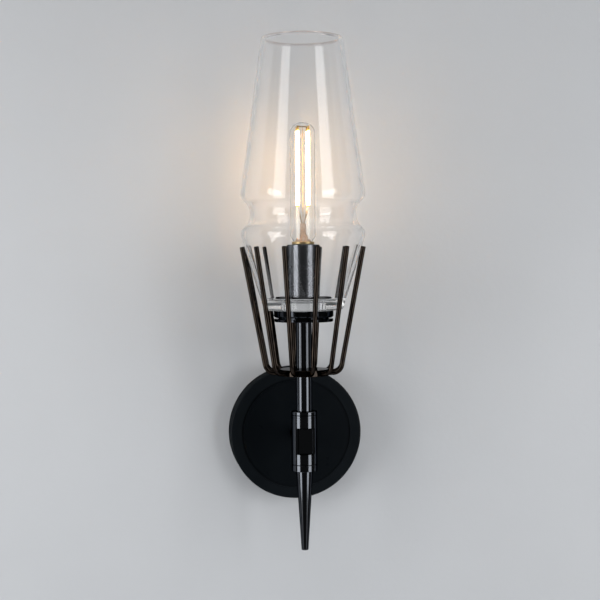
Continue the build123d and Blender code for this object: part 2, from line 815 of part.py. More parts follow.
with BuildPart() as neutral_terminal:
    with BuildSketch(lamp_floor.offset(terminal_bottom)):
        with Locations((neutral_terminal_x, 0)):
            Rectangle(neutral_terminal_width, terminal_depth)
    extrude(amount=terminal_height)
    with BuildSketch(lamp_floor.offset(partition_bottom)):
        with Locations((neutral_post_x, 0)):
            Circle(rivet_diameter / 2)
    extrude(amount=partition_thickness)
    with BuildSketch(lamp_section.offset(terminal_depth / 2)):
        with Locations((neutral_terminal_x, partition_bottom - terminal_height / 2)):
            Circle(terminal_screw_diameter / 2 + thread_fit)
    extrude(amount=-terminal_screw_length, mode=Mode.SUBTRACT)
save(neutral_terminal, "neutral_terminal")

terminal_places = [
    (x, partition_bottom - terminal_height / 2) for x in (live_terminal_x, neutral_terminal_x)
]
headed_screws(
    "terminal_screws", lamp_section.offset(terminal_depth / 2), terminal_places,
    terminal_screw_diameter, terminal_screw_length, terminal_screw_head, terminal_screw_head_height,
)

# Wires: live and neutral loop back into the nipple, follow the arm and climb the stem
loop_y = -lead_loop_depth
pole_y = -pole_depth
spread_bottom = rod_top
spread_top = terminal_bottom


def lamp_lead_points(pole_x, bore_x, terminal_x):
    """The route of one wire from its pole to its terminal in the lampholder."""
    climb = -block_top
    spread = spread_top - spread_bottom
    return [
        (pole_x, pole_y, block_top - lead_grip),
        (pole_x, pole_y, block_top + lead_straight_share * climb),
        (bore_x, loop_y, block_top + 2 * lead_straight_share * climb),
        (bore_x, loop_y, 0),
        (bore_x, -lamp_reach, 0),
        (bore_x, -lamp_reach, spread_bottom + lead_straight_share * spread),
        (terminal_x, -lamp_reach, spread_top - lead_straight_share * spread),
        (terminal_x, -lamp_reach, spread_top),
    ]


wire_lead("live_lead", lamp_lead_points(0, lead_spacing / 2, live_terminal_x))
wire_lead("neutral_lead", lamp_lead_points(-pole_pitch, -lead_spacing / 2, neutral_terminal_x))
lug_entry_x = lug_barrel_x - lug_barrel_length / 2
wire_lead(
    "earth_lead",
    [
        (pole_pitch, pole_y, block_top - lead_grip),
        (pole_pitch, pole_y, -earth_drop),
        (lug_entry_x, pole_y, -earth_drop),
    ],
)

# Lamp cap: rolled thread, flared rim, open inside
thread_radius = cap_thread_diameter / 2
root_radius = thread_radius - cap_thread_depth
cap_flare_bottom = cap_top - cap_rim_height - cap_flare_height
turns = int((cap_flare_bottom - cap_bottom) / cap_thread_pitch)
thread_points = []
for turn in range(turns):
    turn_bottom = cap_bottom + turn * cap_thread_pitch
    thread_points.append((root_radius, turn_bottom))
    thread_points.append((thread_radius, turn_bottom + cap_thread_pitch / 2))
with BuildPart() as bulb_cap:
    with BuildSketch(lamp_section):
        with BuildLine():
            Polyline(
                (root_radius - cap_wall, cap_bottom),
                *thread_points,
                (root_radius, cap_bottom + turns * cap_thread_pitch),
                (root_radius, cap_flare_bottom),
                (cap_rim_diameter / 2, cap_top - cap_rim_height),
                (cap_rim_diameter / 2, cap_top),
                (cap_rim_diameter / 2 - cap_wall, cap_top),
                (cap_rim_diameter / 2 - cap_wall, cap_top - cap_rim_height),
                (root_radius - cap_wall, cap_flare_bottom),
                close=True,
            )
        make_face()
    revolve(axis=lamp_axis)
save(bulb_cap, "bulb_cap")

# Glass insulator under the cap and the end contact under it
with BuildPart() as bulb_insulator:
    with BuildSketch(lamp_section):
        with BuildLine():
            Polyline(
                (0, cap_bottom),
                (root_radius - thread_fit, cap_bottom),
                (insulator_diameter / 2, cap_bottom - insulator_height),
                (0, cap_bottom - insulator_height),
                close=True,
            )
        make_face()
    revolve(axis=lamp_axis)
save(bulb_insulator, "bulb_insulator")

with BuildPart() as bulb_contact:
    with BuildSketch(lamp_floor.offset(lamp_tip)):
        Circle(tip_diameter / 2)
    extrude(amount=tip_height)
    fillet(bulb_contact.edges().group_by(Axis.Z)[0], tip_round)
save(bulb_contact, "bulb_contact")

# Lamp envelope: a clear tube with a rounded end, its neck standing in the cap's rim
envelope_bottom = cap_top - envelope_neck_sink
envelope_shoulder = cap_top + envelope_flare_height
envelope_top = cap_top + envelope_height
neck_radius = envelope_neck_diameter / 2
envelope_radius = envelope_diameter / 2
with BuildPart() as bulb_envelope:
    with BuildSketch(lamp_section):
        with BuildLine():
            outside = FilletPolyline(
                (neck_radius, envelope_bottom),
                (neck_radius, cap_top),
                (envelope_radius, envelope_shoulder),
                (envelope_radius, envelope_top),
                (0, envelope_top),
                radius=[envelope_wall, envelope_flare_height / 2, envelope_top_round],
            )
            Polyline(outside @ 1, (0, envelope_bottom), outside @ 0)
        make_face()
    revolve(axis=lamp_axis)
    with BuildSketch(lamp_section):
        with BuildLine():
            inside = FilletPolyline(
                (neck_radius - envelope_wall, envelope_bottom),
                (neck_radius - envelope_wall, cap_top),
                (envelope_radius - envelope_wall, envelope_shoulder),
                (envelope_radius - envelope_wall, envelope_top - envelope_wall),
                (0, envelope_top - envelope_wall),
                radius=[envelope_wall, envelope_flare_height / 2, envelope_top_round - envelope_wall],
            )
            Polyline(inside @ 1, (0, envelope_bottom), inside @ 0)
        make_face()
    revolve(axis=lamp_axis, mode=Mode.SUBTRACT)
save(bulb_envelope, "bulb_envelope")

# Glass stem inside the lamp: a foot that closes the neck, and a pinched tube
stem_top = cap_top + lamp_stem_height
foot_radius = neck_radius - envelope_wall - thread_fit
with BuildPart() as bulb_stem:
    with BuildSketch(lamp_section):
        with BuildLine():
            Polyline(
                (0, envelope_bottom),
                (foot_radius, envelope_bottom),
                (foot_radius, cap_top),
                (lamp_stem_diameter / 2, cap_top + lamp_stem_height / 2),
                (lamp_stem_diameter / 2, stem_top),
                (0, stem_top),
                close=True,
            )
        make_face()
    revolve(axis=lamp_axis)
    fillet(bulb_stem.edges().group_by(Axis.Z)[-1], lamp_stem_round)
save(bulb_stem, "bulb_stem")

# Filaments in a ring round the middle of the lamp
filament_bottom = cap_top + filament_lift
filament_top = filament_bottom + filament_length
filament_start_angle = 180 / filament_count
with BuildPart() as bulb_filaments:
    with BuildSketch(lamp_floor.offset(filament_bottom)):
        with PolarLocations(filament_ring_radius, filament_count, filament_start_angle):
            Circle(filament_diameter / 2)
    extrude(amount=filament_length)
save(bulb_filaments, "bulb_filaments")

# Wires of the lamp: a middle post with a star over the filaments, and a slanted leg under each
star_arm = filament_ring_radius + filament_diameter / 2
with BuildPart() as bulb_wires:
    with BuildSketch(lamp_floor.offset(stem_top)):
        Circle(wire_diameter / 2)
    extrude(amount=filament_top - stem_top)
    with BuildSketch(lamp_floor.offset(filament_top)):
        with PolarLocations(0, filament_count, filament_start_angle):
            Rectangle(star_arm, wire_diameter, align=(Align.MIN, Align.CENTER))
    extrude(amount=wire_diameter)
    for index in range(filament_count):
        turn = math.radians(filament_start_angle + 360 / filament_count * index)
        foot = (wire_ring_radius * math.cos(turn), wire_ring_radius * math.sin(turn))
        head = (filament_ring_radius * math.cos(turn), filament_ring_radius * math.sin(turn))
        with BuildLine(lamp_floor) as leg_path:
            Line((*foot, stem_top), (*head, filament_bottom))
        with BuildSketch(lamp_floor.offset(stem_top)):
            with Locations(foot):
                Circle(wire_diameter / 2)
        sweep(path=leg_path.line)
save(bulb_wires, "bulb_wires")
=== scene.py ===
import json
import math

import bmesh
import bpy
from mathutils import Matrix, Vector


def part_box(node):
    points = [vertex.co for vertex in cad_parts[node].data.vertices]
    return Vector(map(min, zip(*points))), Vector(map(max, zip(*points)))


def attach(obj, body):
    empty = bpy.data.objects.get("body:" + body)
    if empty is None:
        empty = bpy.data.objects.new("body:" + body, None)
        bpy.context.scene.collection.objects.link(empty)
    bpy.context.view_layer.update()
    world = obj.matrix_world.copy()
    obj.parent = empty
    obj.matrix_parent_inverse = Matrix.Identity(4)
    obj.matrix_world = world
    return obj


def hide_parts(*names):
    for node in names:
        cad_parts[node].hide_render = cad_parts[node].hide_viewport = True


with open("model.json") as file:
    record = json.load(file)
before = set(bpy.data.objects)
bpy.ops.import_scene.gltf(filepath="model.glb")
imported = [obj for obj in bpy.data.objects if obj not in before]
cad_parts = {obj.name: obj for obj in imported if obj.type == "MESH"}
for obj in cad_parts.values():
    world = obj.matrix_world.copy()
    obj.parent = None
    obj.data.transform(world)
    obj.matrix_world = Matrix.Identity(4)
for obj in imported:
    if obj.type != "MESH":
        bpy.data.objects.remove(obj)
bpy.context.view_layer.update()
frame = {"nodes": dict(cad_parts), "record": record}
nodes = frame["nodes"]

# Every length is in metres. The lamp's upright axis stands at X 0.
LAMP_Y = -0.075
LAMP_AXIS = (0, LAMP_Y)

# Glass shade: outer corners as radius, height above its base and rounding
GLASS_BASE, GLASS_TOP = (corner[2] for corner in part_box("glass_shade"))
GLASS_OUTSIDE = (
    (0.0344, 0.0, 0.003),
    (0.0551, 0.0679, 0.0078),
    (0.0402, 0.0836, 0.015),
    (0.0546, 0.098, 0.0068),
    (0.0354, 0.2357, 0.0012),
)
GLASS_WALL = 0.0032
GLASS_FLOOR = 0.0088
GLASS_FLOOR_ROUND = 0.003
GLASS_HOLE = 0.0145
GLASS_HOLE_ROUND = 0.0004
GLASS_LIP = 0.0017
GLASS_LIP_DROP = 0.0028
GLASS_LIP_ROUND = 0.0015

# Lining of the hole in the shade's floor: a pale sleeve that brightens the floor's middle as painted light
LINING_RADII = (0.01431, 0.01446)
LINING_MARGIN = 0.0004
LINING_ROUND = 0.00005

# Lamp's envelope: outer corners as radius, height above its base and rounding
ENVELOPE_BASE, ENVELOPE_TOP = (corner[2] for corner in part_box("bulb_envelope"))
ENVELOPE_OUTSIDE = (
    (0.0088, 0.0, 0.0003),
    (0.0088, 0.003, 0.0012),
    (0.011, 0.006, 0.0022),
    (0.011, ENVELOPE_TOP - ENVELOPE_BASE, 0.0095),
)
ENVELOPE_WALL = 0.0008

# Collar on the lamp's cap
COLLAR_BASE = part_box("bulb_cap")[1][2]
COLLAR_HEIGHT = 0.001
COLLAR_RADII = (0.0089, 0.0098)
COLLAR_ROUND = 0.0003

# Filaments in a ring, each on a post
FILAMENT_LOW, FILAMENT_HIGH = (corner[2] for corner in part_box("bulb_filaments"))
FILAMENT_COUNT = 4
FILAMENT_FIRST = math.radians(45)
FILAMENT_RING = 0.0065
FILAMENT_RADIUS = 0.0012
FILAMENT_CORE = 0.00095
CORE_INSET = 0.0004
FILAMENT_LOWER_END = 0.001
FILAMENT_UPPER_END = 0.0032
FILAMENT_END_RADIUS = 0.0009
POST_LIFT = 0.0037
POST_RADIUS = 0.0011

# Radius of a filament's or post's pin over the rounding of its edges
PIN_ROUNDING = 3

# Mesh fineness
TURN_STEPS = 160
THIN_TURN_STEPS = 24
ARC_STEPS = 16
RUN_STEP = 0.006
MERGE_GAP = 1e-7

# Noise in the materials: its useful middle range and its detail; cells are counted per metre
NOISE_MIDDLE = (0.3, 0.7)
DRIFT_DETAIL = 4.0
ROUGHNESS_DETAIL = 5.0
ROUGHNESS_FINENESS = 3
GRAIN_CELLS = 1500
GRAIN_DETAIL = 2.0
GRAIN_DEPTH = 0.0001

# Clear glass: the angle where its painted edge shade starts, the band under the rim painted as a brownish
# warm reflection, haze and ripples
EDGE_SHADE_START = 0.75
RIM_REFLECTION_BAND = 0.0022
HAZE_CELLS = 30
HAZE_DETAIL = 3.0
HAZE_ROUGHNESS = (0.0, 0.02)
RIPPLE_DETAIL = 1.0
RIPPLE_DEPTH = 0.001

# Plate paint: a groove parts the face's middle from a rim painted lighter as a painted sheen, and the side
# is dull
PLATE_MIDDLE = ((0.0035, 0.0048, 0.0062), (0.0043, 0.0058, 0.0074))
PLATE_MIDDLE_CELLS = 25
PLATE_RIM_SHEEN = ((0.0056, 0.0074, 0.0092), (0.0068, 0.0088, 0.0108))
PLATE_RIM_CELLS = 60
PLATE_RIM_START = 0.0492
PLATE_SIDE_START = 0.0592
PLATE_BLEND = 0.0006
PLATE_SPECULAR = 0.06
PLATE_ROUGHNESS = (0.27, 0.33)
PLATE_ROUGHNESS_CELLS = 90
PLATE_GRAIN_CELLS = 2200
PLATE_GRAIN = 0.05

# Glow: how far it dims, unevenly, along a filament
GLOW_DIM = 0.85
GLOW_CELLS = 900
GLOW_ROUGHNESS = 0.6

# Colours, each a darker and a lighter one between which the surface drifts
NICKEL = ((0.066, 0.071, 0.08), (0.074, 0.079, 0.088))
BRONZE = ((0.009, 0.008, 0.008), (0.042, 0.032, 0.025))
SLEEVE = ((0.15, 0.156, 0.17), (0.175, 0.181, 0.195))
SEAT_BLACK = ((0.03, 0.033, 0.038), (0.036, 0.039, 0.045))
RING_BLACK = ((0.006, 0.006, 0.006), (0.009, 0.009, 0.009))
RUBBER = ((0.72, 0.73, 0.74), (0.8, 0.81, 0.82))
ZINC = ((0.5, 0.5, 0.49), (0.62, 0.62, 0.6))
BRASS = ((0.72, 0.52, 0.22), (0.8, 0.6, 0.3))
BLOCK_WHITE = ((0.74, 0.73, 0.69), (0.8, 0.79, 0.75))
HOLDER_BLACK = ((0.03, 0.03, 0.03), (0.04, 0.04, 0.04))
LIVE_BROWN = ((0.22, 0.08, 0.03), (0.27, 0.11, 0.045))
NEUTRAL_BLUE = ((0.03, 0.12, 0.48), (0.05, 0.16, 0.56))
EARTH_GREEN = ((0.1, 0.4, 0.06), (0.14, 0.48, 0.08))
CAP_BRASS = ((0.55, 0.4, 0.2), (0.66, 0.5, 0.27))
CAP_BLACK = ((0.03, 0.025, 0.03), (0.05, 0.04, 0.05))
WIRE_COPPER = ((0.35, 0.26, 0.16), (0.45, 0.34, 0.22))
END_GOLD = ((0.7, 0.42, 0.12), (0.85, 0.55, 0.2))
STEM_AMBER = ((0.7, 0.5, 0.38), (0.84, 0.66, 0.52))
WALL_GREY = ((0.585, 0.602, 0.625), (0.61, 0.627, 0.65))
DARK_EDGE = 0.05

# Stage: a wall with a hole behind the plate, a floor, and their paint
WALL_HALF = 2.0
WALL_HOLE = 0.057
WALL_STEPS = 64
FLOOR_HEIGHT = -1.0
FLOOR_HALF = 2.0
FLOOR_DEPTH = 1.7
PAINT_CELLS = 6
PAINT_ROUGHNESS = 0.9
PAINT_GRAIN_CELLS = 160
PAINT_GRAIN = 0.15
PAINT_GRAIN_DEPTH = 0.001

# Light: a soft dome overhead, two softboxes beside the camera, a fill under each, and one behind the wall
WORLD_GREY = 0.05
DOME_RADIANCE = 1.2
DOME_START = 0.5
DOME_FULL = 0.75
LIGHT_TARGET = Vector((0, LAMP_Y, 0.07))
SIDE_SIZE = (0.5, 0.86)
SIDE_DISTANCE = 1.05
SIDE_LIGHTS = ((math.radians(-62), 4.6), (math.radians(42), 3.9))
FILL_SIZE = (0.5, 0.6)
FILL_DROP = 0.74
FILL_RADIANCE = 0.6
REAR_SIZE = (0.8, 0.8)
REAR_PLACE = Vector((0.35, 1.1, 0.45))
REAR_RADIANCE = 2.5

# Camera, as the photograph shows it
CAMERA_PLACE = Vector((-0.1589, -1.2002, 0.1587))
CAMERA_YAW = math.radians(7.885)
CAMERA_PITCH = math.radians(-1.8)
CAMERA_ROLL = math.radians(-0.37)
FOCAL_PIXELS = 1306.2
FRAME_PIXELS = 600
SENSOR_MM = 36.0


# Node helpers
def new_material(name):
    mat = bpy.data.materials.new(name)
    mat.use_nodes = True
    return mat, mat.node_tree, mat.node_tree.nodes["Principled BSDF"]


def object_coords(tree, stretch=(1, 1, 1)):
    coords = tree.nodes.new("ShaderNodeTexCoord")
    mapping = tree.nodes.new("ShaderNodeMapping")
    mapping.inputs["Scale"].default_value = stretch
    tree.links.new(coords.outputs["Object"], mapping.inputs["Vector"])
    return mapping.outputs["Vector"]


def noise(tree, cells, detail, stretch=(1, 1, 1)):
    tex = tree.nodes.new("ShaderNodeTexNoise")
    tex.inputs["Scale"].default_value = cells
    tex.inputs["Detail"].default_value = detail
    tree.links.new(object_coords(tree, stretch), tex.inputs["Vector"])
    return tex.outputs["Fac"]


def map_range(tree, value, start, end, low=0.0, high=1.0):
    node = tree.nodes.new("ShaderNodeMapRange")
    node.inputs["From Min"].default_value = start
    node.inputs["From Max"].default_value = end
    node.inputs["To Min"].default_value = low
    node.inputs["To Max"].default_value = high
    tree.links.new(value, node.inputs["Value"])
    return node.outputs["Result"]


def spread(tree, fac, low=0.0, high=1.0):
    """The noise's middle range mapped to a pair of values."""
    return map_range(tree, fac, *NOISE_MIDDLE, low, high)


def math_node(tree, operation, first, second):
    node = tree.nodes.new("ShaderNodeMath")
    node.operation = operation
    for socket, value in zip(node.inputs, (first, second)):
        if isinstance(value, (int, float)):
            socket.default_value = value
        else:
            tree.links.new(value, socket)
    return node.outputs["Value"]


def blend_colours(tree, fac, low, high):
    mix = tree.nodes.new("ShaderNodeMix")
    mix.data_type = "RGBA"
    for socket, colour in (("A", low), ("B", high)):
        if isinstance(colour, tuple):
            mix.inputs[socket].default_value = (*colour, 1)
        else:
            tree.links.new(colour, mix.inputs[socket])
    tree.links.new(fac, mix.inputs["Factor"])
    return mix.outputs["Result"]


def drift(tree, colours, cells, detail=DRIFT_DETAIL, stretch=(1, 1, 1)):
    """A colour that drifts between two over the surface."""
    return blend_colours(tree, spread(tree, noise(tree, cells, detail, stretch)), *colours)


def bump(tree, shader, height, strength, depth):
    node = tree.nodes.new("ShaderNodeBump")
    node.inputs["Strength"].default_value = strength
    node.inputs["Distance"].default_value = depth
    tree.links.new(height, node.inputs["Height"])
    tree.links.new(node.outputs["Normal"], shader.inputs["Normal"])


def see_through(tree, shader, fac, colour=(1, 1, 1)):
    """A material's surface that lets rays straight through where the factor is 1."""
    through = tree.nodes.new("ShaderNodeBsdfTransparent")
    through.inputs["Color"].default_value = (*colour, 1)
    mix = tree.nodes.new("ShaderNodeMixShader")
    tree.links.new(fac, mix.inputs["Fac"])
    tree.links.new(shader.outputs["BSDF"], mix.inputs[1])
    tree.links.new(through.outputs["BSDF"], mix.inputs[2])
    tree.links.new(mix.outputs["Shader"], tree.nodes["Material Output"].inputs["Surface"])


# Kinds of material
def surface(name, colours, roughness, metallic=0.0, mottle=40, grain=0.1, stretch=(1, 1, 1), edge=1.0,
            specular=0.5, transmission=0.0):
    """A material whose colour and roughness drift over its surface, with a fine grain."""
    mat, tree, shader = new_material(name)
    tree.links.new(drift(tree, colours, mottle, stretch=stretch), shader.inputs["Base Color"])
    patches = noise(tree, mottle * ROUGHNESS_FINENESS, ROUGHNESS_DETAIL, stretch)
    tree.links.new(spread(tree, patches, *roughness), shader.inputs["Roughness"])
    shader.inputs["Metallic"].default_value = metallic
    shader.inputs["Specular IOR Level"].default_value = specular
    shader.inputs["Transmission Weight"].default_value = transmission
    shader.inputs["Specular Tint"].default_value = (edge, edge, edge, 1)
    if grain:
        bump(tree, shader, noise(tree, GRAIN_CELLS, GRAIN_DETAIL, stretch), grain, GRAIN_DEPTH)
    return mat


def clear_glass(name, ior, tint, painted_edge_shade, shadow_tint, ripple_cells, ripple, trapped_depth, rim_painted_reflection=None):
    """Clear glass with faint ripples. Rays go straight through it where they light what stands behind it,
    come through the air from a reflection, or have met more surfaces than its trapped depth."""
    mat, tree, shader = new_material(name)
    # Painted shade: the glass's tint darkens towards its grazing edges
    facing = tree.nodes.new("ShaderNodeLayerWeight")
    edge = map_range(tree, facing.outputs["Facing"], EDGE_SHADE_START, 1.0)
    tone = blend_colours(tree, edge, tint, painted_edge_shade)
    # Painted reflection: a band under the shade's rim is tinted darker and brownish, standing in for the
    # rim's warm reflection
    if rim_painted_reflection:
        split = tree.nodes.new("ShaderNodeSeparateXYZ")
        tree.links.new(object_coords(tree), split.inputs["Vector"])
        reflection_band = map_range(tree, split.outputs["Z"], GLASS_TOP - RIM_REFLECTION_BAND, GLASS_TOP)
        tone = blend_colours(tree, reflection_band, tone, rim_painted_reflection)
    tree.links.new(tone, shader.inputs["Base Color"])
    shader.inputs["Transmission Weight"].default_value = 1.0
    shader.inputs["IOR"].default_value = ior
    haze = spread(tree, noise(tree, HAZE_CELLS, HAZE_DETAIL), *HAZE_ROUGHNESS)
    tree.links.new(haze, shader.inputs["Roughness"])
    bump(tree, shader, noise(tree, ripple_cells, RIPPLE_DETAIL), ripple, RIPPLE_DEPTH)
    path = tree.nodes.new("ShaderNodeLightPath")
    lighting = math_node(tree, "MAXIMUM", path.outputs["Is Shadow Ray"], path.outputs["Is Diffuse Ray"])
    trapped = math_node(tree, "GREATER_THAN", path.outputs["Ray Depth"], trapped_depth)
    # A ray that has passed an odd number of the glass's faces is within it, and otherwise in the air
    reflected = math_node(tree, "GREATER_THAN", path.outputs["Glossy Depth"], 0)
    within = math_node(tree, "MODULO", path.outputs["Transmission Depth"], 2)
    in_air = math_node(tree, "GREATER_THAN", reflected, within)
    straight = math_node(tree, "MAXIMUM", math_node(tree, "MAXIMUM", lighting, trapped), in_air)
    see_through(tree, shader, straight, shadow_tint)
    return mat


def plate_paint(name):
    """Satin black paint, painted a little lighter on the rim outside the face's groove as a painted sheen,
    and dull on the side.
    """
    mat, tree, shader = new_material(name)
    shader.inputs["Specular IOR Level"].default_value = PLATE_SPECULAR
    # Radius from the plate's middle, in the plane of the wall
    length = tree.nodes.new("ShaderNodeVectorMath")
    length.operation = "LENGTH"
    tree.links.new(object_coords(tree, (1, 0, 1)), length.inputs[0])
    radius = length.outputs["Value"]
    # Painted sheen: the rim outside the groove takes a lighter colour than the middle
    rim = map_range(tree, radius, PLATE_RIM_START - PLATE_BLEND, PLATE_RIM_START + PLATE_BLEND)
    side = map_range(tree, radius, PLATE_SIDE_START, PLATE_SIDE_START + PLATE_BLEND)
    middle_tone = drift(tree, PLATE_MIDDLE, PLATE_MIDDLE_CELLS)
    rim_sheen_tone = drift(tree, PLATE_RIM_SHEEN, PLATE_RIM_CELLS)
    tree.links.new(blend_colours(tree, rim, middle_tone, rim_sheen_tone), shader.inputs["Base Color"])
    satin = spread(tree, noise(tree, PLATE_ROUGHNESS_CELLS, ROUGHNESS_DETAIL), *PLATE_ROUGHNESS)
    tree.links.new(math_node(tree, "MAXIMUM", satin, side), shader.inputs["Roughness"])
    bump(tree, shader, noise(tree, PLATE_GRAIN_CELLS, GRAIN_DETAIL), PLATE_GRAIN, GRAIN_DEPTH)
    return mat


def glowing(name, colour, strength, alpha=1.0):
    """A surface that glows, a little unevenly along its length."""
    mat, tree, shader = new_material(name)
    dimmed = tuple(GLOW_DIM * level for level in colour)
    tone = drift(tree, (dimmed, colour), GLOW_CELLS, GRAIN_DETAIL)
    tree.links.new(tone, shader.inputs["Base Color"])
    tree.links.new(tone, shader.inputs["Emission Color"])
    shader.inputs["Emission Strength"].default_value = strength
    shader.inputs["Roughness"].default_value = GLOW_ROUGHNESS
    shader.inputs["Alpha"].default_value = alpha
    return mat


def stage_paint(name, colours):
    """Plain pale paint that shows from its own side only."""
    mat, tree, shader = new_material(name)
    tree.links.new(drift(tree, colours, PAINT_CELLS), shader.inputs["Base Color"])
    shader.inputs["Roughness"].default_value = PAINT_ROUGHNESS
    bump(tree, shader, noise(tree, PAINT_GRAIN_CELLS, DRIFT_DETAIL), PAINT_GRAIN, PAINT_GRAIN_DEPTH)
    geometry = tree.nodes.new("ShaderNodeNewGeometry")
    see_through(tree, shader, geometry.outputs["Backfacing"])
    return mat


# Outlines and meshes
def arc_corner(before, corner, after, radius):
    """The points of an arc that rounds a corner, or the corner itself where the radius is 0."""
    corner = Vector(corner)
    if not radius:
        return [corner]
    inward = (Vector(before) - corner).normalized()
    onward = (Vector(after) - corner).normalized()
    half = inward.angle(onward) / 2
    centre = corner + (inward + onward).normalized() * radius / math.sin(half)
    start = corner + inward * radius / math.tan(half) - centre
    end = corner + onward * radius / math.tan(half) - centre
    turn = math.copysign(math.pi - 2 * half, start.cross(end))
    return [centre + Matrix.Rotation(turn * step / ARC_STEPS, 2) @ start for step in range(ARC_STEPS + 1)]


def rounded_loop(corners):
    """A closed outline through corners of (radius, height, rounding), with short steps on straight runs."""
    outline = []
    count = len(corners)
    for index, (across, height, radius) in enumerate(corners):
        before = corners[index - 1][:2]
        after = corners[(index + 1) % count][:2]
        for point in arc_corner(before, (across, height), after, radius):
            if outline:
                run = point - outline[-1]
                pieces = math.ceil(run.length / RUN_STEP)
                outline += [outline[-1] + run * step / pieces for step in range(1, pieces)]
            outline.append(point)
    return outline


def hoop(radii, low, high, edge):
    """The outline of an upright tube with rounded edges."""
    inner, outer = radii
    return rounded_loop([(inner, low, edge), (outer, low, edge), (outer, high, edge), (inner, high, edge)])


def pin(radius, low, high):
    """The outline of an upright pin with rounded edges."""
    edge = radius / PIN_ROUNDING
    return rounded_loop([(0, low, 0), (radius, low, edge), (radius, high, edge), (0, high, 0)])


def thinned(corners, wall):
    """The corners of a wall's inner face, from those of its outer face, in the order back."""
    return [(across - wall, height, radius) for across, height, radius in reversed(corners)]


def lifted(corners, base):
    """Corners whose heights are measured from a base, moved up to it."""
    return [(across, base + height, radius) for across, height, radius in corners]


def new_object(name, bm, material):
    mesh = bpy.data.meshes.new(name)
    bm.to_mesh(mesh)
    bm.free()
    mesh.materials.append(material)
    piece = bpy.data.objects.new(name, mesh)
    bpy.context.collection.objects.link(piece)
    return piece


def lathe(name, outline, material, body, stands_for=(), places=(LAMP_AXIS,), steps=TURN_STEPS):
    """A piece turned from a closed outline about an upright axis at each place."""
    bm = bmesh.new()
    for place_x, place_y in places:
        rings = []
        for step in range(steps):
            turn = 2 * math.pi * step / steps
            way_x, way_y = math.cos(turn), math.sin(turn)
            rings.append([
                bm.verts.new((place_x + point.x * way_x, place_y + point.x * way_y, point.y))
                for point in outline
            ])
        for step in range(steps):
            ring, after = rings[step], rings[(step + 1) % steps]
            for index in range(len(outline)):
                bm.faces.new((ring[index - 1], after[index - 1], after[index], ring[index]))
    bmesh.ops.remove_doubles(bm, verts=bm.verts, dist=MERGE_GAP)
    bmesh.ops.delete(bm, geom=[line for line in bm.edges if line.is_wire], context="EDGES")
    bmesh.ops.recalc_face_normals(bm, faces=bm.faces)
    piece = new_object(name, bm, material)
    for face in piece.data.polygons:
        face.use_smooth = True
    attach(piece, body)
    if stands_for:
        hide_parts(*stands_for)


def softbox(name, place, size, radiance):
    """A lamp whose face shines evenly at that radiance, turned to the light's target."""
    data = bpy.data.lights.new(name, "AREA")
    data.shape = "RECTANGLE"
    data.size, data.size_y = size
    data.energy = radiance * size[0] * size[1] * math.pi
    light = bpy.data.objects.new(name, data)
    light.location = place
    light.rotation_euler = (LIGHT_TARGET - place).to_track_quat("-Z", "Y").to_euler()
    light.visible_camera = False
    bpy.context.collection.objects.link(light)


# Materials by the record's slot
materials = {
    "plate_black": plate_paint("plate_black"),
    "nickel_black": surface("nickel_black", NICKEL, roughness=(0.08, 0.1), metallic=1.0, grain=0,
                            edge=DARK_EDGE),
    "rod_black": surface("rod_black", BRONZE, roughness=(0.06, 0.1), metallic=1.0, mottle=500, grain=0.02,
                         stretch=(1, 1, 0.02), edge=DARK_EDGE),
    "cup_black": surface("cup_black", SLEEVE, roughness=(0.25, 0.28), metallic=1.0, grain=0.01,
                         edge=DARK_EDGE),
    "shade_glass": clear_glass("shade_glass", ior=1.4, tint=(0.995, 0.995, 0.995),
                               painted_edge_shade=(0.72, 0.74, 0.78), shadow_tint=(0.97, 0.972, 0.975),
                               ripple_cells=25, ripple=0.008, trapped_depth=4,
                               rim_painted_reflection=(0.62, 0.53, 0.51)),
    "gasket_rubber": surface("gasket_rubber", RUBBER, roughness=(0.35, 0.5)),
    "steel": surface("zinc_steel", ZINC, roughness=(0.25, 0.4), metallic=1.0),
    "brass": surface("brass", BRASS, roughness=(0.2, 0.3), metallic=1.0),
    "block_plastic": surface("block_plastic", BLOCK_WHITE, roughness=(0.4, 0.5)),
    "holder_plastic": surface("holder_plastic", HOLDER_BLACK, roughness=(0.4, 0.5)),
    "live_insulation": surface("live_insulation", LIVE_BROWN, roughness=(0.35, 0.45)),
    "neutral_insulation": surface("neutral_insulation", NEUTRAL_BLUE, roughness=(0.35, 0.45)),
    "earth_insulation": surface("earth_insulation", EARTH_GREEN, roughness=(0.35, 0.45)),
    "lamp_cap": surface("lamp_cap", CAP_BRASS, roughness=(0.35, 0.45), metallic=1.0),
    "lamp_insulator": surface("lamp_insulator", CAP_BLACK, roughness=(0.1, 0.2)),
    "lamp_glass": clear_glass("lamp_glass", ior=1.1, tint=(0.995, 0.99, 0.98),
                              painted_edge_shade=(0.97, 0.96, 0.95), shadow_tint=(0.97, 0.965, 0.95),
                              ripple_cells=60, ripple=0.01, trapped_depth=8),
    "lamp_wire": surface("lamp_wire", WIRE_COPPER, roughness=(0.3, 0.4), metallic=1.0),
    "lamp_filament": glowing("filament_sleeve", colour=(1.0, 0.7, 0.32), strength=2.6, alpha=0.35),
}

# Materials of single pieces
core_glow = glowing("filament_core", colour=(1.0, 0.71, 0.4), strength=60.0)
end_gold = surface("filament_end", END_GOLD, roughness=(0.25, 0.35), metallic=1.0)
seat_black = surface("seat_black", SEAT_BLACK, roughness=(0.12, 0.16), metallic=1.0, grain=0,
                     edge=DARK_EDGE)
ring_black = surface("ring_black", RING_BLACK, roughness=(0.5, 0.6), specular=0.0)
stem_glass = surface("stem_glass", STEM_AMBER, roughness=(0.2, 0.3), mottle=500, transmission=0.35)
# The glass posts glow faintly: painted light standing in for the filaments' light carried along them
painted_post_glow = glowing("filament_post", colour=(1.0, 0.96, 0.9), strength=0.3, alpha=0.45)

